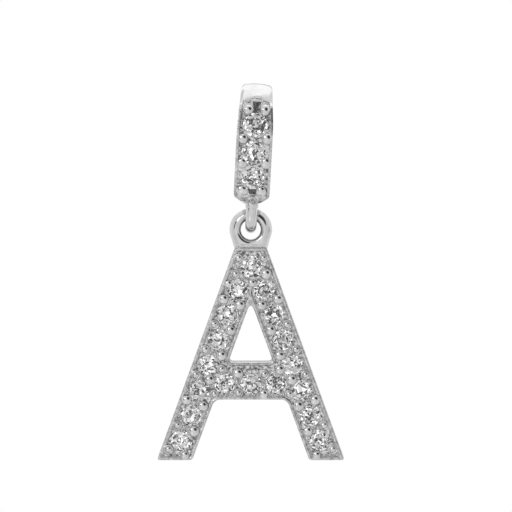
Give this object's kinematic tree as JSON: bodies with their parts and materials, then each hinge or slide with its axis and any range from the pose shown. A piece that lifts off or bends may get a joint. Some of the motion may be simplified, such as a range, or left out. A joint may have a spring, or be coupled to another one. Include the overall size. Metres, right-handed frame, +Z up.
{
  "type": "initial pendant",
  "caption": "Stone-set capital letter hanging by its loop from a wire ring under an oval stone-set bail, which a neck chain passes through.",
  "frame": {"origin": "top of the bail's opening on its middle line, where the chain carries the pendant", "axes": "+Z up as it hangs, +X to the right seen from the front, and the stones face -Y"},
  "size_m": [0.0115, 0.0058, 0.023],
  "materials": {
    "white_gold": "polished white gold with fine hand-finishing marks",
    "diamond": "clear, faceted and bright"
  },
  "bodies": {
    "bail": {"bail": "white_gold", "bail_stone_1": "diamond", "bail_stone_2": "diamond", "bail_stone_3": "diamond"},
    "letter": {"letter": "white_gold", "top_stone": "diamond", "left_leg_stone_1": "diamond", "left_leg_stone_2": "diamond", "left_leg_stone_3": "diamond", "left_leg_stone_4": "diamond", "left_leg_stone_5": "diamond", "left_leg_stone_6": "diamond", "left_leg_stone_7": "diamond", "right_leg_stone_1": "diamond", "right_leg_stone_2": "diamond", "right_leg_stone_3": "diamond", "right_leg_stone_4": "diamond", "right_leg_stone_5": "diamond", "right_leg_stone_6": "diamond", "right_leg_stone_7": "diamond", "crossbar_stone_1": "diamond", "crossbar_stone_2": "diamond", "crossbar_stone_3": "diamond"}
  },
  "joints": [
    {"name": "letter_swing", "type": "hinge", "parent": "bail", "child": "letter", "pos_m": [-0.00035, 0, -0.00788], "axis": [0, -1, 0], "range_deg": [-80, 80]}
  ]
}
